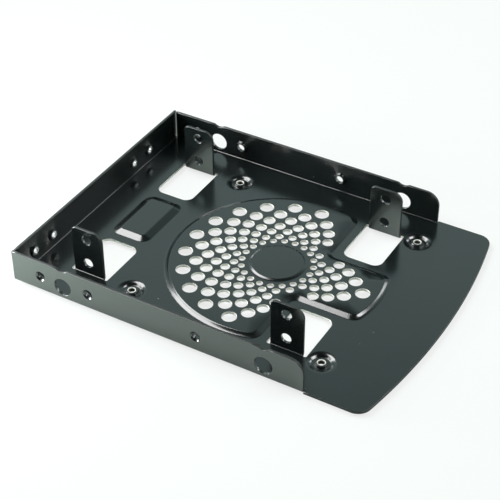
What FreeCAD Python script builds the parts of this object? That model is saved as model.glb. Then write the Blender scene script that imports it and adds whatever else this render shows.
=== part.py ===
import FreeCAD, Part
import math
import os

# Drive bay adapter bracket, one pressed and folded steel sheet
# x runs from the rear wall's outer face to the bowed front edge,
# y runs across the bay, z is up from the underside of the flat base
# The finished bracket is moved so that its origin lies under the vent's centre

V = FreeCAD.Vector

# Sheet and envelope
sheet = 1.0
bayWidth = 101.6
wallHeight = 12.5
wallEnd = 111.2
bendInner = 0.4
bendOuter = bendInner + sheet
cornerGap = 0.6
relief = 0.25
wallNose = 5.0

# Bowed front edge
frontApex = 137.1
frontBow = 240.0
frontCorner = 5.0
earSlit = 0.5

# Screw positions of a 2.5 inch drive held between the tabs
driveScrewPitch = 76.6
rearScrewX = 20.5
lowerScrewZ = 5.4
upperScrewZ = 15.1
driveGap = 70.1
tabScrewDia = 4.0
driverHoleDia = 6.6
driverSides = 24

# Tabs and the windows they were folded out of
tabWidth = 12.0
tabShift = 0.2
tabTop = 19.0
tabRearRound = 1.8
tabFrontRound = 3.5
windowSide = 1.3
windowInner = 16.2
windowRound = 3.2
windowReliefRound = 0.6

# Extruded screw holes
boreDia = 2.9
collarDia = 4.2
collarRise = 0.9
collarSides = 12
sideHoleX = (11.4, 30.6, 72.2)
rearHoleY = (-40.1, -29.7, 20.5, 30.8)
wallHoleZ = 6.35

# Pressed dimples, a square pattern round the vent
dimplePitch = 72.0
dimpleMouth = 10.6
dimpleFloor = 8.2
dimpleDepth = 0.9
dimpleCollarRise = 0.8
dimpleSides = 20

# Raised vent disc with its solid hub
ventX = 73.9
ventRadius = 38.9
ventRise = 0.9
ventRun = 1.2
biteX = 86.7
biteY = 13.0
biteRound = 2.8
lobeRound = 4.0
hornRound = 4.2
hubFoot = 10.4
hubTop = 9.2
hubRise = 0.6

# Vent holes: ring radius, hole diameter and cutter sides, twenty places a ring
ventPlaces = 20
ventRings = (
    (12.5, 2.6, 8),
    (15.0, 3.1, 8),
    (18.05, 3.6, 10),
    (21.05, 4.1, 10),
    (24.55, 4.55, 10),
    (28.05, 5.0, 10),
    (32.5, 5.4, 12),
)
ventMargin = 0.8

# Raised pad between the rear windows
padRear = 13.7
padFront = 27.0
padHalf = 12.0
padRound = 2.6
padRise = 0.9
padRun = 1.5

halfWidth = bayWidth / 2
tabInnerY = driveGap / 2
tabOuterY = tabInnerY + sheet
tabBendY = tabOuterY + bendInner
screwX = (rearScrewX, rearScrewX + driveScrewPitch)


def box(x0, x1, y0, y1, z0, z1):
    return Part.makeBox(x1 - x0, y1 - y0, z1 - z0, V(x0, y0, z0))


def midArc(centre, radius, a, b):
    # arc about a centre from angle a to angle b
    def at(t):
        return V(centre.x + radius * math.cos(t), centre.y + radius * math.sin(t), centre.z)
    return Part.Arc(at(a), at((a + b) / 2), at(b)).toShape()


def roundRect(x0, x1, y0, y1, radii, z):
    # radii in the order low x low y, high x low y, high x high y, low x high y
    corners = (
        (V(x0, y0, z), 1, 1, math.pi),
        (V(x1, y0, z), -1, 1, 1.5 * math.pi),
        (V(x1, y1, z), -1, -1, 0.0),
        (V(x0, y1, z), 1, -1, 0.5 * math.pi),
    )
    edges = []
    ends = []
    for (p, sx, sy, start), r in zip(corners, radii):
        c = V(p.x + sx * r, p.y + sy * r, z)
        arc = midArc(c, r, start, start + 0.5 * math.pi)
        ends.append((arc.valueAt(arc.FirstParameter), arc.valueAt(arc.LastParameter), arc))
    for i in range(4):
        first, last, arc = ends[i]
        edges.append(arc)
        following = ends[(i + 1) % 4][0]
        if last.distanceToPoint(following) > 1e-6:
            edges.append(Part.makeLine(last, following))
    return Part.Wire(edges)


def prism(wire, height):
    return Part.Face(wire).extrude(V(0, 0, height))


def ventOutline(inset, z):
    # disc outline with a bite round each front window, moved inward by inset
    radius = ventRadius - inset
    bx = biteX - inset
    by = biteY - inset
    ra = lobeRound - inset
    rb = biteRound + inset
    rc = hornRound - inset
    c = V(ventX, 0, z)
    ca = V(ventX + math.sqrt((radius - ra) ** 2 - (by - ra) ** 2), by - ra, z)
    cc = V(bx - rc, math.sqrt((radius - rc) ** 2 - (bx - rc - ventX) ** 2), z)
    lobeAngle = math.atan2(ca.y, ca.x - ventX)
    hornAngle = math.atan2(cc.y, cc.x - ventX)
    cb = V(bx + rb, by + rb, z)
    edges = []

    def flip(edge):
        return edge.mirror(V(0, 0, z), V(0, 1, 0))

    upper = [
        midArc(ca, ra, lobeAngle, 0.5 * math.pi),
        Part.makeLine(V(ca.x, by, z), V(cb.x, by, z)),
        midArc(cb, rb, 1.5 * math.pi, math.pi),
        Part.makeLine(V(bx, cb.y, z), V(bx, cc.y, z)),
        midArc(cc, rc, 0.0, hornAngle),
    ]
    edges.append(midArc(c, radius, -lobeAngle, lobeAngle))
    edges.extend(upper)
    edges.append(midArc(c, radius, hornAngle, 2 * math.pi - hornAngle))
    edges.extend(flip(e) for e in reversed(upper))
    return Part.Wire(Part.__sortEdges__(edges))


def padOutline(inset, z):
    r = padRound - inset
    half = padHalf - inset
    return roundRect(padRear + inset, padFront - inset, -half, half, (r, r, r, r), z)


def circleOutline(x, y, radius, z):
    return Part.Wire(Part.makeCircle(radius, V(x, y, z)))


def frustum(outline, run, rise, inset, z):
    # tapered body that climbs from z by rise while its outline moves in by run
    sections = [outline(inset, z), outline(inset + run, z + rise)]
    return Part.makeLoft(sections, True, True)


def emboss(sheetBody, outline, run, rise, z):
    # press a region of the sheet up, keeping the sheet's thickness on the slope
    slope = math.atan2(rise, run)
    shift = sheet * math.tan(slope / 2)
    below = frustum(outline, run, rise, shift, z)
    above = frustum(outline, run, rise, 0.0, z + sheet)
    return sheetBody.fuse(above).cut(below)


def barrel(radius, start, along, length):
    return Part.makeCylinder(radius, length, start, along)


def manySided(x, y, dia, sides, z):
    # regular outline with the area of the round one, which keeps the facets few
    step = 2 * math.pi / sides
    reach = dia / 2 * math.sqrt(step / math.sin(step))
    corners = [V(x + reach * math.cos(k * step), y + reach * math.sin(k * step), z) for k in range(sides)]
    return Part.makePolygon(corners + corners[:1])


def manySidedBar(dia, sides, start, along, length):
    bar = prism(manySided(0, 0, dia, sides, 0), length)
    bar.Placement = FreeCAD.Placement(start, FreeCAD.Rotation(V(0, 0, 1), along))
    return bar


def collar(start, along, length):
    return manySidedBar(collarDia, collarSides, start, along, length)


# Flat base with the ears in front of the side walls
baseRear = bendOuter
innerHalf = halfWidth - bendOuter
arcCentre = V(frontApex - frontBow, 0, 0)
noseReach = frontBow - frontCorner
noseY = halfWidth - frontCorner
noseX = arcCentre.x + math.sqrt(noseReach ** 2 - noseY ** 2)
noseAngle = math.atan2(noseY, noseX - arcCentre.x)
earStart = wallEnd + earSlit
slitY = innerHalf - relief
base = box(baseRear, wallEnd, -innerHalf, innerHalf, 0, sheet)
earEdges = [
    Part.makeLine(V(earStart, slitY, 0), V(earStart, halfWidth, 0)),
    Part.makeLine(V(earStart, halfWidth, 0), V(noseX, halfWidth, 0)),
    midArc(V(noseX, noseY, 0), frontCorner, 0.5 * math.pi, noseAngle),
    midArc(arcCentre, frontBow, noseAngle, -noseAngle),
    midArc(V(noseX, -noseY, 0), frontCorner, -noseAngle, -0.5 * math.pi),
    Part.makeLine(V(noseX, -halfWidth, 0), V(earStart, -halfWidth, 0)),
    Part.makeLine(V(earStart, -halfWidth, 0), V(earStart, -slitY, 0)),
    Part.makeLine(V(earStart, -slitY, 0), V(wallEnd - 1, -slitY, 0)),
    Part.makeLine(V(wallEnd - 1, -slitY, 0), V(wallEnd - 1, slitY, 0)),
    Part.makeLine(V(wallEnd - 1, slitY, 0), V(earStart, slitY, 0)),
]
front = prism(Part.Wire(earEdges), sheet)
body = base.fuse(front)

# Vent disc, hub and pad pressed up
body = emboss(body, ventOutline, ventRun, ventRise, 0.0)


def hubOutline(inset, z):
    return circleOutline(ventX, 0, hubFoot - inset, z)


body = emboss(body, hubOutline, hubFoot - hubTop, hubRise, ventRise)
body = emboss(body, padOutline, padRun, padRise, 0.0)

# Dimples pressed down, each with an extruded screw hole in its floor
dimpleRun = (dimpleMouth - dimpleFloor) / 2
dimpleShift = sheet * math.tan(math.atan2(dimpleDepth, dimpleRun) / 2)
dimpleX = (ventX - dimplePitch / 2, ventX + dimplePitch / 2)
dimpleY = (-dimplePitch / 2, dimplePitch / 2)
dimplePlaces = [(x, y) for x in dimpleX for y in dimpleY]


def pressing(x, y, inset, z):
    # tapered bowl that opens upward from z
    floor = manySided(x, y, dimpleFloor - 2 * inset, dimpleSides, z)
    mouth = manySided(x, y, dimpleMouth - 2 * inset, dimpleSides, z + dimpleDepth)
    return Part.makeLoft([floor, mouth], True, True)


for x, y in dimplePlaces:
    under = pressing(x, y, 0.0, -dimpleDepth)
    hollow = pressing(x, y, dimpleShift, sheet - dimpleDepth)
    body = body.fuse(under)
    body = body.cut(hollow)
    body = body.fuse(collar(V(x, y, -dimpleDepth), V(0, 0, 1), sheet + dimpleCollarRise))

# Windows left by the tabs
windows = []
for xs in screwX:
    middle = xs + tabShift
    x0 = middle - tabWidth / 2 - windowSide
    x1 = middle + tabWidth / 2 + windowSide
    radii = (windowRound, windowRound, windowReliefRound, windowReliefRound)
    wire = roundRect(x0, x1, windowInner, tabBendY + relief / 2, radii, -1)
    cutter = prism(wire, sheet + 2)
    body = body.cut(cutter)
    body = body.cut(cutter.mirror(V(0, 0, 0), V(0, 1, 0)))

# Vent holes in staggered rings, left out where the disc is bitten away
holes = []
for ring, (ringRadius, holeDia, sides) in enumerate(ventRings):
    turn = 0.5 * (ring % 2)
    for place in range(ventPlaces):
        a = 2 * math.pi * (place + turn) / ventPlaces
        p = V(ventX + ringRadius * math.cos(a), ringRadius * math.sin(a), 0)
        room = ventMargin + holeDia / 2
        clear = p.x < biteX - room or abs(p.y) < biteY - room
        if clear:
            holes.append(prism(manySided(p.x, p.y, holeDia, sides, -1), ventRise + sheet + 2))
ventHoleCount = len(holes)
body = body.cut(Part.makeCompound(holes))

# Side walls: a flange standing on a quarter bend
def quarterBend(length):
    # bend profile in y and z about the near wall's bend centre, swept along x
    c = V(0, -halfWidth + bendOuter, bendOuter)
    outer = Part.Arc(
        V(0, c.y, 0),
        V(0, c.y - bendOuter * math.sin(math.pi / 4), c.z - bendOuter * math.cos(math.pi / 4)),
        V(0, -halfWidth, c.z),
    ).toShape()
    inner = Part.Arc(
        V(0, -halfWidth + sheet, c.z),
        V(0, c.y - bendInner * math.sin(math.pi / 4), c.z - bendInner * math.cos(math.pi / 4)),
        V(0, c.y, sheet),
    ).toShape()
    edges = [
        outer,
        Part.makeLine(V(0, -halfWidth, c.z), V(0, -halfWidth + sheet, c.z)),
        inner,
        Part.makeLine(V(0, c.y, sheet), V(0, c.y, 0)),
    ]
    return Part.Face(Part.Wire(edges)).extrude(V(length, 0, 0))


def flange(rear):
    # near side flange from its rear end to the rounded nose
    c = V(wallEnd - wallNose, 0, wallHeight - wallNose)
    nose = Part.Arc(
        V(c.x, 0, wallHeight),
        V(c.x + wallNose * math.sin(math.pi / 4), 0, c.z + wallNose * math.cos(math.pi / 4)),
        V(wallEnd, 0, c.z),
    ).toShape()
    edges = [
        Part.makeLine(V(rear, 0, bendOuter), V(rear, 0, wallHeight)),
        Part.makeLine(V(rear, 0, wallHeight), V(c.x, 0, wallHeight)),
        nose,
        Part.makeLine(V(wallEnd, 0, c.z), V(wallEnd, 0, bendOuter)),
        Part.makeLine(V(wallEnd, 0, bendOuter), V(rear, 0, bendOuter)),
    ]
    plate = Part.Face(Part.Wire(edges)).extrude(V(0, sheet, 0))
    plate.translate(V(0, -halfWidth, 0))
    return plate


bendStart = bendOuter + relief
farBend = quarterBend(wallEnd - bendStart)
farBend.translate(V(bendStart, 0, 0))
cornerCut = box(-1, bendStart, -halfWidth - 1, -innerHalf + relief, -1, bendOuter + relief)
farPlane = V(0, 1, 0)
nearWall = flange(0.0).fuse(quarterBend(wallEnd))
farWall = flange(sheet + cornerGap).cut(cornerCut).fuse(farBend).mirror(V(0, 0, 0), farPlane)
body = body.cut(box(-1, bendStart, -halfWidth - 1, -innerHalf + relief, -1, sheet + 1))
body = body.cut(box(-1, bendStart, innerHalf - relief, halfWidth + 1, -1, sheet + 1))

# Rear wall: it and its bend lap past the far side wall and stop short of the near one
rearBend = quarterBend(halfWidth + innerHalf - relief)
rearBend.rotate(V(0, 0, 0), V(0, 0, 1), -90)
rearBend.translate(V(halfWidth, halfWidth, 0))
rearLow = -halfWidth + sheet + cornerGap
rearPlate = box(0, sheet, rearLow, halfWidth, bendOuter + relief, wallHeight)
rearFoot = box(0, sheet, -innerHalf + relief, halfWidth, bendOuter, bendOuter + relief)
rearWall = rearPlate.fuse(rearFoot).fuse(rearBend)
body = body.fuse([nearWall, farWall, rearWall])

# Tabs folded up beside the windows
def tabPlate(xs):
    middle = xs + tabShift
    radii = (0.01, 0.01, tabFrontRound, tabRearRound)
    outline = roundRect(middle - tabWidth / 2, middle + tabWidth / 2, bendOuter, tabTop, radii, 0)
    plate = Part.Face(outline).extrude(V(0, 0, sheet))
    plate.rotate(V(0, 0, 0), V(1, 0, 0), 90)
    plate.translate(V(0, tabOuterY, 0))
    return plate


def tabBend(xs):
    c = V(0, tabBendY, bendOuter)
    s = math.sin(math.pi / 4)
    outer = Part.Arc(
        V(0, c.y, 0),
        V(0, c.y - bendOuter * s, c.z - bendOuter * s),
        V(0, tabInnerY, c.z),
    ).toShape()
    inner = Part.Arc(
        V(0, tabOuterY, c.z),
        V(0, c.y - bendInner * s, c.z - bendInner * s),
        V(0, c.y, sheet),
    ).toShape()
    edges = [
        outer,
        Part.makeLine(V(0, tabInnerY, c.z), V(0, tabOuterY, c.z)),
        inner,
        Part.makeLine(V(0, c.y, sheet), V(0, c.y, 0)),
    ]
    bend = Part.Face(Part.Wire(edges)).extrude(V(tabWidth, 0, 0))
    root = box(0, tabWidth, c.y, c.y + relief, 0, sheet)
    bend = bend.fuse(root)
    bend.translate(V(xs + tabShift - tabWidth / 2, 0, 0))
    return bend


for xs in screwX:
    tab = tabPlate(xs).fuse(tabBend(xs))
    for z in (lowerScrewZ, upperScrewZ):
        tab = tab.cut(barrel(tabScrewDia / 2, V(xs, tabInnerY - 1, z), V(0, 1, 0), sheet + 2))
    body = body.fuse([tab, tab.mirror(V(0, 0, 0), farPlane)])

# Extruded screw holes in the walls, collars inward
collars = []
bores = []
for x in sideHoleX:
    for side in (-1, 1):
        face = V(x, side * halfWidth, wallHoleZ)
        inward = V(0, -side, 0)
        collars.append(collar(face, inward, sheet + collarRise))
        bores.append(barrel(boreDia / 2, face, inward, sheet + collarRise + 1))
for y in rearHoleY:
    face = V(0, y, wallHoleZ)
    inward = V(1, 0, 0)
    collars.append(collar(face, inward, sheet + collarRise))
    bores.append(barrel(boreDia / 2, face, inward, sheet + collarRise + 1))
for x, y in dimplePlaces:
    face = V(x, y, -dimpleDepth)
    bores.append(barrel(boreDia / 2, face, V(0, 0, 1), sheet + dimpleCollarRise + 1))
body = body.fuse(collars)
body = body.cut(bores)

# Driver holes in line with the lower screws, shallow notches under the upper ones
for x in screwX:
    for z in (lowerScrewZ, upperScrewZ):
        for side in (-1, 1):
            start = V(x, side * (halfWidth + 1), z)
            body = body.cut(manySidedBar(driverHoleDia, driverSides, start, V(0, -side, 0), sheet + 2))

body = body.removeSplitter()
solids = body.Solids
print("solids", len(solids), "valid", body.isValid(), "vent holes", ventHoleCount)
bracket = solids[0] if len(solids) == 1 else body

# The origin is the vent's centre, in the plane of the base's underside
bracket = bracket.translated(V(-ventX, 0, 0))
print("volume", bracket.Volume, "box", bracket.BoundBox)

os.makedirs("parts", exist_ok=True)
bracket.exportStep("parts/bay_bracket.step")
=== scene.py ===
import math
import bpy
import numpy as np
from mathutils import Matrix, Vector
from mathutils.geometry import delaunay_2d_cdt


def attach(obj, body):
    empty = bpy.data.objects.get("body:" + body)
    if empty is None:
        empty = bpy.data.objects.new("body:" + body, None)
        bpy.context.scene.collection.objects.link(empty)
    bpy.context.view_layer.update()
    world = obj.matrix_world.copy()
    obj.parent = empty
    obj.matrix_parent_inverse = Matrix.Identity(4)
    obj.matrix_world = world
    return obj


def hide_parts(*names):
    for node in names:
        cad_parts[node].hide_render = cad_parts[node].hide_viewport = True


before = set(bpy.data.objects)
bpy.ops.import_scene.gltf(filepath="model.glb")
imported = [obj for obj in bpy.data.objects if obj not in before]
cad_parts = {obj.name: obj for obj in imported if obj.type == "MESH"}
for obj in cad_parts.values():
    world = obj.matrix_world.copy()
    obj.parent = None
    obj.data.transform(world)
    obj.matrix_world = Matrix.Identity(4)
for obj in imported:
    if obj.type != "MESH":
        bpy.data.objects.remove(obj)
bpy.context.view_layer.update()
print("frame loaded")

# The bracket is one folded steel sheet: its flat blank is drawn, meshed, pressed, folded and coated.
# Its sizes are in millimetres, x from the rear wall's outer face, y from the middle, z from the base.
sheetSizes = {
    "sheet": 1.0,
    "width": 101.6,
    "bendInner": 0.4,
    "wallHeight": 12.5,
    "wallEnd": 111.2,
    "wallNose": 5.0,
    "cornerGap": 0.5,     # between the far wall's end and the rear wall
    "nearGap": 0.06,      # between the near wall and the rear wall's end
    "relief": 0.25,       # how far the bend reliefs run into the base
    "earSlit": 0.16,      # between a side wall's front end and the base
    "frontApex": 137.1,
    "frontBow": 240.0,    # radius of the bowed front edge
    "frontCorner": 5.0,
    "edgeRound": 0.11,
    "originX": 73.9,      # the frame's origin lies in the middle of the vent
}
# How finely the blank is meshed
meshSizes = {
    "bendSteps": 7,
    "slopeStops": 14,
    "notchStops": 9,
    "noseStops": 16,
    "edgeGap": 2.5,       # longest edge along the outline
    "slotGap": 1.5,       # along a window and its tab
    "pressGap": 1.2,      # along the raised disc
    "padGap": 0.8,
    "bowStep": 1.5,       # longest edge along an arc, from the widest arc to the tightest
    "discStep": 0.9,
    "arcStep": 0.45,
    "cornerStep": 0.4,
    "roundStep": 0.3,
    "reliefStep": 0.15,
    "hubSides": 96,
    "dimpleSides": 56,
    "collarSides": 40,
    "boreSides": 32,
    "lineMargin": 0.16,   # how far a bend's lines end before its edges
    "wallStops": 45,
    "rearStops": 40,
    "tabStops": 7,
    "batch": 4000,        # points that are measured against a loop at a time
}
sheet = sheetSizes["sheet"]
half = sheetSizes["width"] / 2
bendOuter = sheetSizes["bendInner"] + sheet
innerHalf = half - bendOuter
bendRun = 0.5 * math.pi * (sheetSizes["bendInner"] + 0.5 * sheet)
topReach = bendRun + sheetSizes["wallHeight"] - bendOuter


def reachAt(z):
    # how far up a folded wall a height lies, measured along the flat blank
    return bendRun + z - bendOuter


def arcPoints(cx, cy, radius, start, end, step=meshSizes["arcStep"]):
    count = max(4, math.ceil(abs(end - start) * radius / step))
    turns = np.linspace(start, end, count + 1)
    return [(cx + radius * math.cos(t), cy + radius * math.sin(t)) for t in turns]


def cleanLoop(points, gap):
    # drops doubled points and splits long edges
    doubled = 1e-5
    kept = []
    for p in points:
        if not kept or math.dist(p, kept[-1]) > doubled:
            kept.append(p)
    if math.dist(kept[0], kept[-1]) < doubled:
        kept.pop()
    loop = []
    for i, p in enumerate(kept):
        q = kept[(i + 1) % len(kept)]
        pieces = max(1, math.ceil(math.dist(p, q) / gap))
        for k in range(pieces):
            loop.append((p[0] + (q[0] - p[0]) * k / pieces, p[1] + (q[1] - p[1]) * k / pieces))
    return np.array(loop)


def insetLoop(loop, distance):
    # moves a loop towards its left hand side, where the metal is
    ahead = np.roll(loop, -1, 0) - loop
    ahead /= np.linalg.norm(ahead, axis=1)[:, None]
    normal = np.stack([-ahead[:, 1], ahead[:, 0]], 1)
    before = np.roll(normal, 1, 0)
    miter = (normal + before) / (1 + (normal * before).sum(1))[:, None]
    return loop + miter * distance


def fineStops(start, end, low, high, gap=0.2):
    # extra stops between low and high on the way from start to end
    count = max(2, math.ceil(abs(high - low) / gap))
    stops = sorted(np.linspace(low, high, count + 1), reverse=end < start)
    return [s for s in stops if min(start, end) < s < max(start, end)]


# Vent, hub, pad and dimples: what is pressed into the flat base
ventSizes = {
    "radius": 38.9,
    "rise": 0.9,
    "run": 2.2,
    "step": (0.7, 0.15),          # shares of a slope that its rounded foot and shoulder take
    "biteRun": 2.5,               # along the two bites the slope is straighter
    "biteStep": (0.12, 0.25),
    "biteFade": 0.6,
    "spread": 0.5,                # how far the foot lies outside the radius
    "biteX": 86.7,
    "biteY": 13.0,
    "biteRound": 2.8,
    "lobeRound": 4.0,
    "hornRound": 4.2,
    "hubFoot": 10.4,
    "hubRun": 1.5,
    "hubRise": 0.42,
    "places": 20,                 # in every ring
    "rings": (                    # radius of a ring and diameter of its holes
        (12.5, 2.6), (15.0, 3.1), (18.05, 3.6), (21.05, 4.1),
        (24.55, 4.55), (28.05, 5.0), (32.5, 5.4)),
    "margin": 0.8,                # least metal between a hole and a bite
    "coat": 0.18,                 # thickness that the coating takes off a hole's radius
}
padSizes = {
    "rear": 12.9,
    "front": 28.4,
    "half": 13.0,
    "round": 3.9,
    "rise": 0.95,
    "run": 3.3,
    "step": (0.15, 0.25),
}
dimpleSizes = {
    "pitch": 72.0,
    "mouth": 10.6,
    "floor": 6.0,
    "depth": 0.9,
    "step": (0.15, 0.8),
    "collarRise": 0.8,
    "bore": 2.3,
    "bareRing": 2.9,     # the bore's bright top edge reaches out to here
}
collarSizes = {
    "bore": 2.9,
    "foot": 4.9,         # diameter at which the collar leaves the sheet
    "wall": 0.43,
    "step": (0.3, 0.3),
    "rise": 0.9,
    "mouth": 4.1,        # diameter of the hollow that the punch leaves at the outer face
    "mouthDepth": 0.5,
    "mouthRun": 0.6,
    "mouthStep": (0.4, 0.5),
    "ringRadii": (1.64, 1.72, 1.82, 1.94, 2.02, 2.1, 2.2, 2.34, 2.45),
}
originX = sheetSizes["originX"]


def ventLoop(inset):
    # outline of the raised disc with its two bites
    v = ventSizes
    radius, bx, by = v["radius"] - inset, v["biteX"] - inset, v["biteY"] - inset
    lobe, bite, horn = v["lobeRound"] - inset, v["biteRound"] + inset, v["hornRound"] - inset
    lobeX = originX + math.sqrt((radius - lobe) ** 2 - (by - lobe) ** 2)
    hornY = math.sqrt((radius - horn) ** 2 - (bx - horn - originX) ** 2)
    lobeTurn = math.atan2(by - lobe, lobeX - originX)
    hornTurn = math.atan2(hornY, bx - horn - originX)
    upper = arcPoints(lobeX, by - lobe, lobe, lobeTurn, 0.5 * math.pi)
    upper += arcPoints(bx + bite, by + bite, bite, 1.5 * math.pi, math.pi)
    upper += arcPoints(bx - horn, hornY, horn, 0.0, hornTurn)
    points = arcPoints(originX, 0, radius, -lobeTurn, lobeTurn, meshSizes["discStep"]) + upper
    points += arcPoints(originX, 0, radius, hornTurn, 2 * math.pi - hornTurn, meshSizes["discStep"])
    points += [(x, -y) for x, y in reversed(upper)]
    return cleanLoop(points, meshSizes["pressGap"])


def padLoop(inset):
    # outline of the raised rectangle, one rounded corner after the other
    p = padSizes
    r = p["round"] - inset
    rear, front, side = p["rear"] + p["round"], p["front"] - p["round"], p["half"] - p["round"]
    points = []
    for k, (x, y) in enumerate(((rear, -side), (front, -side), (front, side), (rear, side))):
        start = (1 + 0.5 * k) * math.pi
        points += arcPoints(x, y, r, start, start + 0.5 * math.pi, meshSizes["roundStep"])
    return cleanLoop(points, meshSizes["padGap"])


def ringLoop(x, y, radius, sides):
    turns = np.arange(sides) * 2 * math.pi / sides
    return np.stack([x + radius * np.cos(turns), y + radius * np.sin(turns)], 1)


def slopeStep(share, step):
    # straight slope between a rounded foot and a rounded shoulder
    foot, shoulder = step
    t = np.clip(share, 0, 1)
    steep = 1 / (1 - 0.5 * (foot + shoulder))
    low = 0.5 * steep * t * t / foot
    high = 1 - 0.5 * steep * (1 - t) ** 2 / shoulder
    return np.where(t < foot, low, np.where(t > 1 - shoulder, high, steep * (t - 0.5 * foot)))


def distanceFrom(points, x, y):
    return np.hypot(points[:, 0] - x, points[:, 1] - y)


def depthInside(points, loop):
    # distance of each point to a loop, positive inside it
    a, b = loop, np.roll(loop, -1, 0)
    depth = np.empty(len(points))
    batch = meshSizes["batch"]
    for first in range(0, len(points), batch):
        p = points[first:first + batch, None, :]
        along = b - a
        t = np.clip(((p - a) * along).sum(2) / (along * along).sum(1), 0, 1)
        gap = np.linalg.norm(p - a - t[:, :, None] * along, axis=2).min(1)
        depth[first:first + batch] = gap
    return np.where(insideLoop(points, loop), depth, -depth)


def insideLoop(points, loop):
    # a point is inside where a line from it towards +X crosses the loop an odd number of times
    a, b = loop, np.roll(loop, -1, 0)
    level = 1e-12
    inside = np.zeros(len(points), bool)
    near = (points >= loop.min(0)).all(1) & (points <= loop.max(0)).all(1)
    where = np.nonzero(near)[0]
    batch = meshSizes["batch"]
    for first in range(0, len(where), batch):
        pick = where[first:first + batch]
        p = points[pick][:, None, :]
        paintedShadowSpans = (a[:, 1] > p[:, :, 1]) != (b[:, 1] > p[:, :, 1])
        rise = np.where(np.abs(b[:, 1] - a[:, 1]) < level, level, b[:, 1] - a[:, 1])
        cross = a[:, 0] + (p[:, :, 1] - a[:, 1]) * (b[:, 0] - a[:, 0]) / rise
        inside[pick] = (paintedShadowSpans & (p[:, :, 0] < cross)).sum(1) % 2 == 1
    return inside


# Where everything sits on the flat blank
tabSizes = {
    "screwX": (20.5, 97.1),
    "shift": 0.2,        # of a tab's middle from its screws
    "width": 12.0,
    "gap": 70.1,         # between the two rows of tabs
    "top": 19.0,
    "rearRound": 1.8,
    "frontRound": 3.5,
    "screwZ": (5.4, 15.1),
    "screwDia": 3.7,
    "driverDia": 6.6,
    "windowSide": 1.3,
    "windowInner": 16.2,
    "windowRound": 3.2,
    "reliefRound": 0.6,
    "slotLap": 0.02,     # how far a window runs past the tab's bend
}
tabBendY = tabSizes["gap"] / 2 + bendOuter
tabTip = tabBendY - reachAt(tabSizes["top"])
slotOuter = tabBendY + tabSizes["slotLap"]
tabMiddles = [x + tabSizes["shift"] for x in tabSizes["screwX"]]
tabHalf = tabSizes["width"] / 2
wallSizes = {
    "screwX": (11.4, 30.6, 72.2),
    "rearScrewY": (-40.1, -29.7, 20.5, 30.8),
    "screwZ": 6.35,
}


def wallNotches(side, points):
    # shallow driver notches in a side wall's top edge, walked from front to rear
    r = tabSizes["driverDia"] / 2
    centre = reachAt(tabSizes["screwZ"][1])
    spread = math.asin(math.sqrt(r * r - (centre - topReach) ** 2) / r)
    for x in sorted(tabSizes["screwX"], reverse=True):
        for t in np.linspace(spread, -spread, meshSizes["notchStops"]):
            points.append((x + r * math.sin(t), side * (innerHalf + centre - r * math.cos(t))))


def sideFlange(side, rear, bendRear):
    # outline of one side wall on the blank, from its front foot to its rear foot
    s = sheetSizes
    end, nose = s["wallEnd"], s["wallNose"]
    noseReach = topReach - nose
    rising = [0.0, *fineStops(0, noseReach, 0, bendRun), noseReach]
    points = [(end, side * (innerHalf + w)) for w in rising]
    points += [(end - nose + nose * math.cos(t), side * (innerHalf + noseReach + nose * math.sin(t)))
               for t in np.linspace(0, 0.5 * math.pi, meshSizes["noseStops"])]
    wallNotches(side, points)
    low = bendRun + s["relief"]
    points += [(rear, side * (innerHalf + topReach)), (rear, side * (innerHalf + low))]
    falling = [low, *fineStops(low, 0, 0, bendRun), 0.0]
    points += [(bendRear, side * (innerHalf + w)) for w in falling]
    return points


def blankOutline():
    # walked from the front edge round the far wall, the rear wall and the near wall
    s = sheetSizes
    centreX = s["frontApex"] - s["frontBow"]
    reach = s["frontBow"] - s["frontCorner"]
    noseY = half - s["frontCorner"]
    noseX = centreX + math.sqrt(reach ** 2 - noseY ** 2)
    noseTurn = math.atan2(noseY, noseX - centreX)
    slitY = innerHalf - s["relief"]
    earStart = s["wallEnd"] + s["earSlit"]
    cornerStep = meshSizes["cornerStep"]
    points = arcPoints(centreX, 0, s["frontBow"], -noseTurn, noseTurn, meshSizes["bowStep"])
    points += arcPoints(noseX, noseY, s["frontCorner"], noseTurn, 0.5 * math.pi, cornerStep)
    points += [(earStart, half), (earStart, slitY), (s["wallEnd"], slitY)]
    start = bendOuter + s["relief"]
    low = bendRun + s["relief"]
    points += sideFlange(1, sheet + s["cornerGap"], start)
    points += [(start, slitY), (bendOuter, slitY), (bendOuter, half)]
    points += [(bendOuter - w, half) for w in [*fineStops(0, topReach, 0, bendRun), topReach]]
    nearEnd = -half + sheet + s["nearGap"]
    points += [(bendOuter - topReach, nearEnd), (bendOuter - low, nearEnd)]
    points += [(bendOuter - w, -slitY) for w in [low, *fineStops(low, 0, 0, bendRun)]]
    points += [(bendOuter, -slitY), (start, -slitY)]
    points += reversed(sideFlange(-1, 0.0, 0.0))
    points += [(s["wallEnd"], -slitY), (earStart, -slitY), (earStart, -half)]
    points += arcPoints(noseX, -noseY, s["frontCorner"], -0.5 * math.pi, -noseTurn, cornerStep)
    return cleanLoop(points, meshSizes["edgeGap"])


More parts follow.
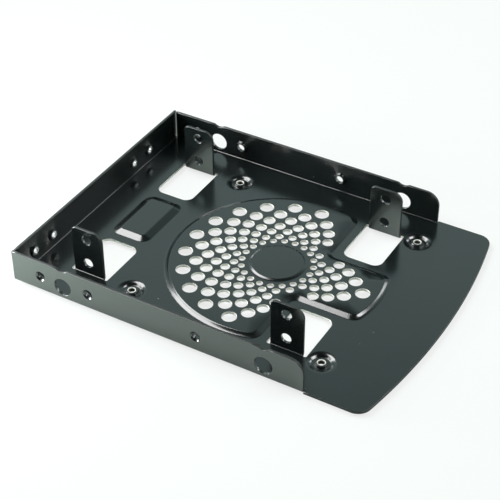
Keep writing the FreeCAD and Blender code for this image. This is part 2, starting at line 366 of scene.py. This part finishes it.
def windowSlot(middle, side):
    # opening round a tab on the blank, walked with the metal on the left
    t = tabSizes
    x0, x1 = middle - tabHalf - t["windowSide"], middle + tabHalf + t["windowSide"]
    big, small = t["windowRound"], t["reliefRound"]
    coarse, fine = meshSizes["roundStep"], meshSizes["reliefStep"]
    points = arcPoints(x0 + big, t["windowInner"] + big, big, 1.5 * math.pi, math.pi, coarse)
    points += arcPoints(x0 + small, slotOuter - small, small, math.pi, 0.5 * math.pi, fine)
    bendStops = fineStops(slotOuter, 0, tabBendY - bendRun, tabBendY)
    points += [(middle - tabHalf, v) for v in [slotOuter, *bendStops]]
    r = t["rearRound"]
    points += arcPoints(middle - tabHalf + r, tabTip + r, r, math.pi, 1.5 * math.pi, coarse)
    r = t["frontRound"]
    points += arcPoints(middle + tabHalf - r, tabTip + r, r, 1.5 * math.pi, 2 * math.pi, coarse)
    points += [(middle + tabHalf, v) for v in [*reversed(bendStops), slotOuter]]
    points += arcPoints(x1 - small, slotOuter - small, small, 0.5 * math.pi, 0, fine)
    points += arcPoints(x1 - big, t["windowInner"] + big, big, 0, -0.5 * math.pi, coarse)
    loop = cleanLoop(points, meshSizes["slotGap"])
    if side < 0:
        loop = loop[::-1] * (1, -1)
    return loop


def ventPlaces():
    # staggered rings of holes, without those that would fall in a bite
    v = ventSizes
    places = []
    for ring, (radius, dia) in enumerate(v["rings"]):
        for k in range(v["places"]):
            turn = 2 * math.pi * (k + 0.5 * (ring % 2)) / v["places"]
            x, y = originX + radius * math.cos(turn), radius * math.sin(turn)
            room = v["margin"] + dia / 2
            if x < v["biteX"] - room or abs(y) < v["biteY"] - room:
                places.append((x, y, dia / 2 - v["coat"]))
    return np.array(places)


vents = ventPlaces()
halfPitch = dimpleSizes["pitch"] / 2
dimples = [(originX + dx, dy) for dx in (-halfPitch, halfPitch) for dy in (-halfPitch, halfPitch)]
screwReach = reachAt(wallSizes["screwZ"])
wallCollars = [(x, side * (innerHalf + screwReach)) for x in wallSizes["screwX"] for side in (-1, 1)]
wallCollars += [(bendOuter - screwReach, y) for y in wallSizes["rearScrewY"]]
plainHoles = [(x, side * (innerHalf + reachAt(tabSizes["screwZ"][0])), tabSizes["driverDia"] / 2)
              for x in tabSizes["screwX"] for side in (-1, 1)]
plainHoles += [(x, side * (tabBendY - reachAt(z)), tabSizes["screwDia"] / 2)
               for x in tabSizes["screwX"] for z in tabSizes["screwZ"] for side in (-1, 1)]

# Loops that bound the metal, each with the metal on its left
outline = blankOutline()
slots = [windowSlot(m, side) for m in tabMiddles for side in (-1, 1)]
collarSides, boreSides = meshSizes["collarSides"], meshSizes["boreSides"]
rounds = [ringLoop(x, y, r, boreSides)[::-1] for x, y, r in vents]
rounds += [ringLoop(x, y, r, collarSides)[::-1] for x, y, r in plainHoles]
rounds += [ringLoop(x, y, collarSizes["bore"] / 2, boreSides)[::-1] for x, y in wallCollars]
rounds += [ringLoop(x, y, dimpleSizes["bore"] / 2, boreSides)[::-1] for x, y in dimples]
print("blank drawn with", len(vents), "vent holes")

# Every loop also runs a little inside the metal, which rounds its edge
edgeRound = sheetSizes["edgeRound"]
edgeStops = [(edgeRound * (1 - math.cos(t)), edgeRound * (1 - math.sin(t)))
             for t in (0.0, math.pi / 6, math.pi / 3, 0.5 * math.pi)]
vertices, edges, drops = [], [], []


def addLoop(loop, drop):
    first = len(vertices)
    vertices.extend(map(tuple, loop))
    drops.extend([drop] * len(loop))
    edges.extend((first + i, first + (i + 1) % len(loop)) for i in range(len(loop)))


def addLine(points):
    first = len(vertices)
    vertices.extend(points)
    drops.extend([0.0] * len(points))
    edges.extend((first + i, first + i + 1) for i in range(len(points) - 1))


for loop in [outline] + slots + rounds:
    for inset, drop in edgeStops:
        addLoop(insetLoop(loop, inset), drop)

# Loops and lines along the slopes, round the collars and in the bends, for the mesh to follow
dimpleMouth, dimpleFloor = dimpleSizes["mouth"] / 2, dimpleSizes["floor"] / 2
for share in np.linspace(0, 1, meshSizes["slopeStops"]):
    addLoop(ventLoop(share * ventSizes["run"] - ventSizes["spread"]), 0.0)
    hubRadius = ventSizes["hubFoot"] - share * ventSizes["hubRun"]
    addLoop(ringLoop(originX, 0, hubRadius, meshSizes["hubSides"]), 0.0)
    addLoop(padLoop(share * padSizes["run"]), 0.0)
    for x, y in dimples:
        radius = dimpleFloor + (dimpleMouth - dimpleFloor) * share
        addLoop(ringLoop(x, y, radius, meshSizes["dimpleSides"]), 0.0)
for x, y in dimples + wallCollars:
    for r in collarSizes["ringRadii"]:
        addLoop(ringLoop(x, y, r, collarSides), 0.0)
bareRadius = dimpleSizes["bareRing"] / 2
for x, y in dimples:
    addLoop(ringLoop(x, y, bareRadius, collarSides), 0.0)
margin = meshSizes["lineMargin"]
for k in range(meshSizes["bendSteps"] + 1):
    w = bendRun * k / meshSizes["bendSteps"]
    end = sheetSizes["wallEnd"] - margin
    for side, start in ((-1, 0.0), (1, bendOuter + sheetSizes["relief"])):
        stops = np.linspace(start + margin, end, meshSizes["wallStops"])
        addLine([(x, side * (innerHalf + w)) for x in stops])
        for m in tabMiddles:
            stops = np.linspace(m - tabHalf + margin, m + tabHalf - margin, meshSizes["tabStops"])
            addLine([(x, side * (tabBendY - w)) for x in stops])
    low = margin + sheetSizes["relief"] - innerHalf
    addLine([(bendOuter - w, y) for y in np.linspace(low, half - margin, meshSizes["rearStops"])])

# The blank is filled with triangles, and only those in the metal are kept, all facing up
weld, noArea = 1e-6, 1e-9
cutPoints, _, cutFaces, cutSources, _, _ = delaunay_2d_cdt(vertices, edges, [], 0, weld)
flat = np.array([tuple(v) for v in cutPoints])
triangles = np.array(list(cutFaces))
drop = np.zeros(len(flat))
for i, sources in enumerate(cutSources):
    if sources:
        drop[i] = max(drops[s] for s in sources)
middle = flat[triangles].mean(1)
metal = insideLoop(middle, outline)
for loop in slots + rounds:
    metal &= ~insideLoop(middle, loop)
corners = flat[triangles]
area = np.cross(corners[:, 1] - corners[:, 0], corners[:, 2] - corners[:, 0])
metal &= np.abs(area) > noArea
triangles = triangles[metal]
turned = area[metal] < 0
triangles[turned] = triangles[turned][:, ::-1]
print("blank meshed with", len(triangles), "triangles")


def pressHeights(points):
    # underside of the pressed base, with the disc, the hub, the pad and the dimples
    v, p, d = ventSizes, padSizes, dimpleSizes
    fromHub = distanceFrom(points, originX, 0)
    depth = depthInside(points, ventLoop(0))
    nearBite = np.clip((v["radius"] - fromHub - depth) / v["biteFade"], 0, 1)
    rimSlope = slopeStep((depth + v["spread"]) / v["run"], v["step"])
    biteSlope = slopeStep((depth + v["spread"]) / v["biteRun"], v["biteStep"])
    height = v["rise"] * (rimSlope + (biteSlope - rimSlope) * nearBite)
    height += v["hubRise"] * slopeStep((v["hubFoot"] - fromHub) / v["hubRun"], v["step"])
    height += p["rise"] * slopeStep(depthInside(points, padLoop(0)) / p["run"], p["step"])
    for x, y in dimples:
        share = (distanceFrom(points, x, y) - dimpleFloor) / (dimpleMouth - dimpleFloor)
        height -= d["depth"] * (1 - slopeStep(share, d["step"]))
    return height


def skinHeights(points):
    # underside and top of the pressed sheet, before its edges are rounded
    c = collarSizes
    low = pressHeights(points)
    high = low + sheet
    for x, y in dimples + wallCollars:
        r = distanceFrom(points, x, y)
        rise = dimpleSizes["collarRise"] if (x, y) in dimples else c["rise"]
        high += rise * slopeStep((c["foot"] / 2 - r) / c["wall"], c["step"])
        if (x, y) in wallCollars:
            low += c["mouthDepth"] * slopeStep((c["mouth"] / 2 - r) / c["mouthRun"], c["mouthStep"])
    return low, high


# Other loops' points that fall on a vent hole's rounded edge drop with it
onEdge = -0.02
for x, y, r in vents:
    gap = distanceFrom(flat, x, y) - r
    share = np.clip(1 - gap / edgeRound, 0, 1)
    near = edgeRound * (1 - np.sqrt(np.clip(1 - share ** 2, 0, 1)))
    drop = np.maximum(drop, np.where(gap > onEdge, near, 0))
lowSkin, highSkin = skinHeights(flat)
lowSkin += drop
highSkin -= drop


def foldedPoint(points, lift):
    # carries the blank's points, lifted off its underside, to the folded bracket
    x, y = points[:, 0].copy(), points[:, 1].copy()
    outX, outY, outZ = x.copy(), y.copy(), lift.copy()

    def bend(mask, along, start, sign, target):
        w = np.clip(sign * (along - start), 0, None)
        phi = np.clip(w / bendRun, 0, 1) * 0.5 * math.pi
        above = np.clip(w - bendRun, 0, None)
        out = bendOuter * np.sin(phi) - lift * np.sin(phi)
        up = bendOuter * (1 - np.cos(phi)) + above + lift * np.cos(phi)
        target[mask] = (start + sign * out)[mask]
        outZ[mask] = up[mask]

    tiny = 1e-4
    behindEnd = x < sheetSizes["wallEnd"] + 0.5 * sheetSizes["earSlit"]
    farWall = (x > bendOuter + tiny) | (y > half + tiny)
    bend((y > innerHalf) & behindEnd & farWall, y, innerHalf, 1, outY)
    bend((y < -innerHalf) & behindEnd & (x > -tiny), y, -innerHalf, -1, outY)
    rearWall = (y > tiny - innerHalf) | (x < -tiny)
    bend((x < bendOuter) & (y < half + tiny) & rearWall, x, bendOuter, -1, outX)
    for m in tabMiddles:
        column = np.abs(x - m) < tabHalf + tiny
        bend(column & (y < tabBendY) & (y > tabTip - tiny), y, tabBendY, -1, outY)
        bend(column & (y > -tabBendY) & (y < -tabTip + tiny), y, -tabBendY, 1, outY)
    return np.stack([outX - originX, outY, outZ], 1) * 0.001


def skinNormals(points, reach=0.02):
    # outward normals of both folded skins, from four points close by
    skins = []
    for step in ((reach, 0), (-reach, 0), (0, reach), (0, -reach)):
        moved = points + np.array(step)
        skins.append([foldedPoint(moved, height) for height in skinHeights(moved)])
    normals = []
    for side, sign in ((0, -1), (1, 1)):
        along = skins[0][side] - skins[1][side]
        across = skins[2][side] - skins[3][side]
        normal = sign * np.cross(along, across)
        normals.append(normal / np.linalg.norm(normal, axis=1)[:, None])
    return np.concatenate(normals)


# Points that no triangle uses go, and each kept one gets an underside and a top
used = np.unique(triangles)
triangles = np.searchsorted(used, triangles)
flat, drop, lowSkin, highSkin = flat[used], drop[used], lowSkin[used], highSkin[used]
count = len(flat)
placed = np.concatenate([foldedPoint(flat, lowSkin), foldedPoint(flat, highSkin)])
normals = skinNormals(flat)
dropTwice = np.concatenate([drop, drop])
normals[dropTwice > weld] = 0      # rounded edges keep the normals that their faces give
sides = np.concatenate([triangles[:, [0, 1]], triangles[:, [1, 2]], triangles[:, [2, 0]]])
known = set(map(tuple, sides.tolist()))
rim = [(a, b) for a, b in known if (b, a) not in known]
faces = [tuple(t) for t in (triangles + count).tolist()]
faces += [tuple(reversed(t)) for t in triangles.tolist()]
rimFaces = [(a, b, b + count, a + count) for a, b in rim]

# Where the metal shows: the vent holes and windows are bare, and the dimples' bores are bright at the top,
# with painted shadow in their lower part
slack = 0.05      # how far a rim's face may lie from its drawn loop
rimMiddle = np.array([(flat[a] + flat[b]) / 2 for a, b in rim])
topMiddle = flat[triangles].mean(1)
rounded = drop[triangles].max(1) > 0.25 * edgeRound      # triangles that reach over a rounded edge
bareRim, boreRim, coatedRim = (np.zeros(len(rim), bool) for k in range(3))
boreTop, bareTop = (np.zeros(len(triangles), bool) for k in range(2))
for x, y, r in vents:
    bareRim |= distanceFrom(rimMiddle, x, y) < r + slack
    bareTop |= rounded & (distanceFrom(topMiddle, x, y) < r + edgeRound)
for x, y in dimples:
    boreRim |= distanceFrom(rimMiddle, x, y) < bareRadius
    boreTop |= distanceFrom(topMiddle, x, y) < bareRadius
for x, y, r in [*plainHoles, *((x, y, collarSizes["bore"] / 2) for x, y in wallCollars)]:
    coatedRim |= distanceFrom(rimMiddle, x, y) < r + slack
for loop in slots:
    around = depthInside(rimMiddle, loop) > -slack
    for m in tabMiddles:
        besideTab = np.abs(rimMiddle[:, 0] - m) > tabHalf + slack
        around &= besideTab | (np.abs(rimMiddle[:, 1]) < tabTip - slack)
    bareRim |= around

mesh = bpy.data.meshes.new("bracketSheet")
mesh.from_pydata(placed.tolist(), [], faces + rimFaces)
# how far each point lies on a rounded edge, which sets where the edges are lightened, partly as wear and
# partly as a painted highlight
edgeWear = mesh.attributes.new("edgeWear", "FLOAT", "POINT")
edgeWear.data.foreach_set("value", (dropTwice / edgeRound).astype(np.float32))

# Numbers of the materials, in the order in which they are added to the mesh further down
coated, holeWallBare, edgeCut, boreBare = range(4)
finishNumbers = np.concatenate([
    np.select([boreTop, bareTop], [boreBare, holeWallBare], coated),
    np.where(bareTop, holeWallBare, coated),
    np.select([bareRim, boreRim, coatedRim], [holeWallBare, boreBare, coated], edgeCut)])
mesh.polygons.foreach_set("material_index", finishNumbers.astype(np.int32))
mesh.polygons.foreach_set("use_smooth", np.ones(len(mesh.polygons), bool))
mesh.update()
bracketSheet = bpy.data.objects.new("bracketSheet", mesh)
bpy.context.scene.collection.objects.link(bracketSheet)
mesh.normals_split_custom_set_from_vertices(normals.tolist())
print("bracket meshed with", len(mesh.polygons), "faces")


class Shade:
    # wraps a socket so that shader maths reads as an expression
    def __init__(self, nodes, socket):
        self.nodes = nodes
        self.socket = socket

    def other(self, output):
        # another output of the same node
        return Shade(self.nodes, self.socket.node.outputs[output])

    def math(self, operation, a, b):
        return self.nodes.math(operation, a, b)

    def __add__(self, other):
        return self.math("ADD", self, other)

    def __radd__(self, other):
        return self.math("ADD", other, self)

    def __sub__(self, other):
        return self.math("SUBTRACT", self, other)

    def __rsub__(self, other):
        return self.math("SUBTRACT", other, self)

    def __mul__(self, other):
        return self.math("MULTIPLY", self, other)

    def __rmul__(self, other):
        return self.math("MULTIPLY", other, self)


class Finish:
    # a material or world and the way its nodes are added
    def __init__(self, made):
        self.made = made
        self.made.use_nodes = True
        self.tree = made.node_tree
        self.tree.nodes.clear()

    def add(self, kind, settings=None, values=None, output=0):
        # a node's settings come first, then the values or links of its sockets
        node = self.tree.nodes.new(kind)
        for key, value in (settings or {}).items():
            if key == "stops":
                ramp = node.color_ramp
                while len(ramp.elements) < len(value):
                    ramp.elements.new(0.5)
                for element, (place, colour) in zip(ramp.elements, value):
                    element.position = place
                    element.color = colour
            else:
                setattr(node, key, value)
        for key, value in (values or {}).items():
            if isinstance(value, Shade):
                self.tree.links.new(value.socket, node.inputs[key])
            else:
                node.inputs[key].default_value = value
        return None if output is None else Shade(self, node.outputs[output])

    def math(self, operation, a, b):
        return self.add("ShaderNodeMath", {"operation": operation}, {0: a, 1: b})

    def mixColour(self, share, first, second):
        # a Mix node's colours are its sockets 6 and 7, and its third output
        return self.add("ShaderNodeMix", {"data_type": "RGBA"}, {0: share, 6: first, 7: second}, 2)

    def light(self, output):
        return self.add("ShaderNodeLightPath", output=output)

    def finish(self, surface, kind="ShaderNodeOutputMaterial"):
        self.add(kind, {}, {"Surface": surface}, None)
        return self.made


coating = {
    "base": (0.0038, 0.0062, 0.0062, 1),
    "baseLight": (0.0058, 0.0098, 0.0094, 1),
    # lighter colour of the rounded edges: edge wear and a painted highlight
    "wornAndHighlight": (0.09, 0.1, 0.1, 1),
    "dust": (0.16, 0.18, 0.17, 1),
    "dustSpacing": 260.0,
    "dustSize": 0.055,
    "dustRare": 0.9,
    "cloudScale": 55.0,
    "patchScale": 90.0,
    "roughness": 0.19,
    "roughnessSpread": 0.08,
    "peelScale": 900.0,
    "peelDepth": 0.000006,
    "refraction": 2.0,
}


def coatedSteel():
    c = coating
    m = Finish(bpy.data.materials.new("coatedSteel"))
    place = m.add("ShaderNodeTexCoord", output="Object")
    cloud = m.add("ShaderNodeTexNoise", {}, {"Vector": place, "Scale": c["cloudScale"], "Detail": 4.0})
    peel = m.add("ShaderNodeTexNoise", {}, {"Vector": place, "Scale": c["peelScale"], "Detail": 2.0})
    patches = m.add("ShaderNodeTexNoise", {}, {"Vector": place, "Scale": c["patchScale"], "Detail": 5.0})
    # painted highlight: the rounded edges turn lighter in patches, partly as edge wear and partly as a
    # painted highlight
    wearAndHighlight = m.add("ShaderNodeAttribute", {"attribute_name": "edgeWear"}, output="Fac")
    base = m.mixColour(cloud, c["base"], c["baseLight"])
    # a grain of dust in the middle of a few cells
    cells = m.add("ShaderNodeTexVoronoi", {}, {"Vector": place, "Scale": c["dustSpacing"]})
    lot = m.add("ShaderNodeTexWhiteNoise", {"noise_dimensions": "3D"}, {"Vector": cells.other("Position")})
    grain = m.math("LESS_THAN", cells, c["dustSize"]) * m.math("GREATER_THAN", lot, c["dustRare"])
    dusty = m.mixColour(grain, base, c["dust"])
    colour = m.mixColour(wearAndHighlight * patches, dusty, c["wornAndHighlight"])
    roughness = c["roughness"] + c["roughnessSpread"] * (cloud - 0.5)
    normal = m.add("ShaderNodeBump", {}, {"Height": peel, "Strength": 1.0, "Distance": c["peelDepth"]})
    surface = m.add("ShaderNodeBsdfPrincipled", {}, {
        "Base Color": colour, "Roughness": roughness, "Normal": normal, "IOR": c["refraction"]})
    return m.finish(surface)


bareMetal = {
    "light": (0.96, 0.94, 0.89, 1),
    "dark": (0.86, 0.84, 0.77, 1),
    # painted shadow colour for the lower part of a bore
    "paintedShadow": (0.02, 0.02, 0.018, 1),
    "roughness": 0.45,
    "metallic": 0.2,
    "streakScale": 800.0,
    "streakDepth": 0.00001,
    "paintedShadowSpans": {"holeWallSteel": (-0.01, -0.005), "boreSteelWithPaintedShadow": (0.0003, 0.0008)},
}


def bareSteel(name):
    # painted shadow: the colour is dark below the first height of its span, in metres, and pale above the
    # second
    b = bareMetal
    m = Finish(bpy.data.materials.new(name))
    low, high = b["paintedShadowSpans"][name]
    place = m.add("ShaderNodeTexCoord", output="Object")
    streak = m.add("ShaderNodeTexNoise", {}, {"Vector": place, "Scale": b["streakScale"], "Detail": 3.0})
    height = m.add("ShaderNodeSeparateXYZ", {}, {"Vector": place}, "Z")
    lit = m.add("ShaderNodeMapRange", {}, {"Value": height, "From Min": low, "From Max": high})
    pale = m.mixColour(streak, b["dark"], b["light"])
    # painted shadow on the lower part, pale steel above
    colour = m.mixColour(lit, b["paintedShadow"], pale)
    normal = m.add("ShaderNodeBump", {}, {"Height": streak, "Strength": 0.5, "Distance": b["streakDepth"]})
    surface = m.add("ShaderNodeBsdfPrincipled", {}, {
        "Base Color": colour, "Roughness": b["roughness"], "Metallic": b["metallic"], "Normal": normal})
    return m.finish(surface)


cutEdge = {
    "low": (0.008, 0.011, 0.011, 1),
    "high": (0.03, 0.035, 0.034, 1),
    "roughness": 0.6,
    "streakScale": 600.0,
    "streakDepth": 0.00001,
}


def cutEdgeSteel():
    c = cutEdge
    m = Finish(bpy.data.materials.new("cutEdgeSteel"))
    place = m.add("ShaderNodeTexCoord", output="Object")
    streak = m.add("ShaderNodeTexNoise", {}, {"Vector": place, "Scale": c["streakScale"], "Detail": 3.0})
    colour = m.mixColour(streak, c["low"], c["high"])
    normal = m.add("ShaderNodeBump", {}, {"Height": streak, "Strength": 0.5, "Distance": c["streakDepth"]})
    surface = m.add("ShaderNodeBsdfPrincipled", {}, {
        "Base Color": colour, "Roughness": c["roughness"], "Normal": normal})
    return m.finish(surface)


# in the order of the numbers that the faces were given
for finish in (coatedSteel(), bareSteel("holeWallSteel"), cutEdgeSteel(), bareSteel("boreSteelWithPaintedShadow")):
    bracketSheet.data.materials.append(finish)
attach(bracketSheet, "root")
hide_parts("bay_bracket")
print("bracket placed")

# Floor, world and lamps, in metres
studio = {
    "floorZ": -0.0009,       # the dimples stand on it
    "floorSize": 6.0,
    "floorColour": (0.72, 0.84, 0.77, 1),
    "cameraShare": 0.77,     # how much plain white the camera sees in place of the lit floor
    "glossyShare": 0.04,     # and how much of it reflections see
    "worldStrength": 1.0,
    "worldColour": (0.76, 1.0, 0.98),
    "ceiling": (             # sine of a direction's height and how bright the world is there
        (0.0, 0.95), (0.12, 0.9), (0.26, 0.35), (0.4, 0.38),
        (0.52, 0.66), (0.62, 0.6), (0.84, 0.03), (1.0, 0.015)),
    "behindSpan": (-0.45, 0.8),      # from the near side to behind the bracket
    "behindShare": (0.2, 1.0),       # the world's brightness grows by so much
    "turn": math.radians(30.0),
}


def paleFloor():
    m = Finish(bpy.data.materials.new("paleFloor"))
    whiteShare = m.light("Is Camera Ray") * studio["cameraShare"]
    whiteShare += m.light("Is Glossy Ray") * studio["glossyShare"]
    plain = m.add("ShaderNodeBsdfDiffuse", {}, {"Color": studio["floorColour"]})
    white = m.add("ShaderNodeEmission", {}, {"Color": (1, 1, 1, 1), "Strength": 1.0})
    surface = m.add("ShaderNodeMixShader", {}, {0: whiteShare, 1: plain, 2: white})
    return m.finish(surface)


bpy.ops.mesh.primitive_plane_add(size=studio["floorSize"], location=(0, 0, studio["floorZ"]))
floor = bpy.context.object
floor.name = "floor"
floor.data.materials.append(paleFloor())


def studioWorld():
    # bright low down and behind the bracket, dark overhead and on the near side
    m = Finish(bpy.data.worlds.new("studioWorld"))
    towards = m.add("ShaderNodeTexCoord", output="Generated")
    x = m.add("ShaderNodeSeparateXYZ", {}, {"Vector": towards}, "X")
    y, z = x.other("Y"), x.other("Z")
    behind = math.cos(studio["turn"]) * y - math.sin(studio["turn"]) * x
    start, end = studio["behindSpan"]
    least, most = studio["behindShare"]
    share = m.add("ShaderNodeMapRange", {}, {
        "Value": behind, "From Min": start, "From Max": end, "To Min": least, "To Max": most})
    tint = studio["worldColour"]
    stops = [(height, (*(light * k for k in tint), 1)) for height, light in studio["ceiling"]]
    sky = m.add("ShaderNodeValToRGB", {"stops": stops}, {0: z})
    dim = m.add("ShaderNodeBackground", {}, {"Color": (0, 0, 0, 1), "Strength": 0.0})
    bright = m.add("ShaderNodeBackground", {}, {"Color": sky, "Strength": studio["worldStrength"]})
    lit = m.add("ShaderNodeMixShader", {}, {0: share, 1: dim, 2: bright})
    white = m.add("ShaderNodeBackground", {}, {"Color": (1, 1, 1, 1), "Strength": 1.0})
    surface = m.add("ShaderNodeMixShader", {}, {0: m.light("Is Camera Ray"), 1: lit, 2: white})
    return m.finish(surface, "ShaderNodeOutputWorld")


bpy.context.scene.world = studioWorld()

# A soft lamp on either side, a narrow one for the disc's front rim and a small low one at the left end.
# Directions are told as seen by the camera: to the right, ahead and up. Power is in watts.
lamps = {
    "left": {
        "away": (-0.56, 0.27, 0.78), "along": (-0.15, 0.8, -0.57),
        "far": 0.7, "size": (0.46, 0.46), "power": 4.4},
    "right": {
        "away": (0.64, -0.03, 0.77), "along": (0.25, 0.35, -0.19),
        "far": 0.7, "size": (0.34, 0.2), "power": 1.6},
    "rim": {
        "away": (0.84, 0.35, 0.41), "along": (-0.3, 0.9, 0.0),
        "far": 0.7, "size": (0.4, 0.12), "power": 0.62},
    "low": {
        "away": (-0.96, 0.12, 0.2), "along": (0.2, 0.98, 0.0),
        "far": 0.2, "size": (0.1, 0.06), "power": 0.6},
}
viewFrame = Matrix.Rotation(studio["turn"], 3, "Z")
for name, lamp in lamps.items():
    data = bpy.data.lights.new(name, "AREA")
    data.shape = "RECTANGLE"
    data.size, data.size_y = lamp["size"]
    data.energy = lamp["power"]
    back = (viewFrame @ Vector(lamp["away"])).normalized()
    along = viewFrame @ Vector(lamp["along"])
    side = (along - back * along.dot(back)).normalized()
    turned = Matrix((side, back.cross(side), back)).transposed().to_4x4()
    lampObject = bpy.data.objects.new(name, data)
    lampObject.matrix_world = Matrix.Translation(back * lamp["far"]) @ turned
    bpy.context.scene.collection.objects.link(lampObject)
print("studio lit")

# The photograph's camera, for an image of 500 by 500, with its angles in degrees and its place in metres
cameraSizes = {
    "imagePixels": 500,
    "sensorWidth": 36.0,
    "focalPixels": 1425.9,
    "azimuth": 30.169,
    "elevation": 37.936,
    "roll": -0.122,
    "place": (0.18418, -0.33565, 0.30596),
}


def photoCamera():
    a, e, r = (math.radians(cameraSizes[k]) for k in ("azimuth", "elevation", "roll"))
    ahead = np.array([-math.sin(a) * math.cos(e), math.cos(a) * math.cos(e), -math.sin(e)])
    right = np.array([math.cos(a), math.sin(a), 0.0])
    up = np.cross(right, ahead)
    rolled = (math.cos(r) * right + math.sin(r) * up, math.cos(r) * up - math.sin(r) * right)
    axes = np.array([*rolled, -ahead])
    data = bpy.data.cameras.new("photoCamera")
    data.sensor_width = cameraSizes["sensorWidth"]
    data.lens = cameraSizes["focalPixels"] / cameraSizes["imagePixels"] * data.sensor_width
    camera = bpy.data.objects.new("photoCamera", data)
    camera.matrix_world = Matrix.Translation(cameraSizes["place"]) @ Matrix(axes.T.tolist()).to_4x4()
    bpy.context.scene.collection.objects.link(camera)
    bpy.context.scene.camera = camera


photoCamera()
bpy.context.scene.view_settings.view_transform = "Standard"
print("camera set")
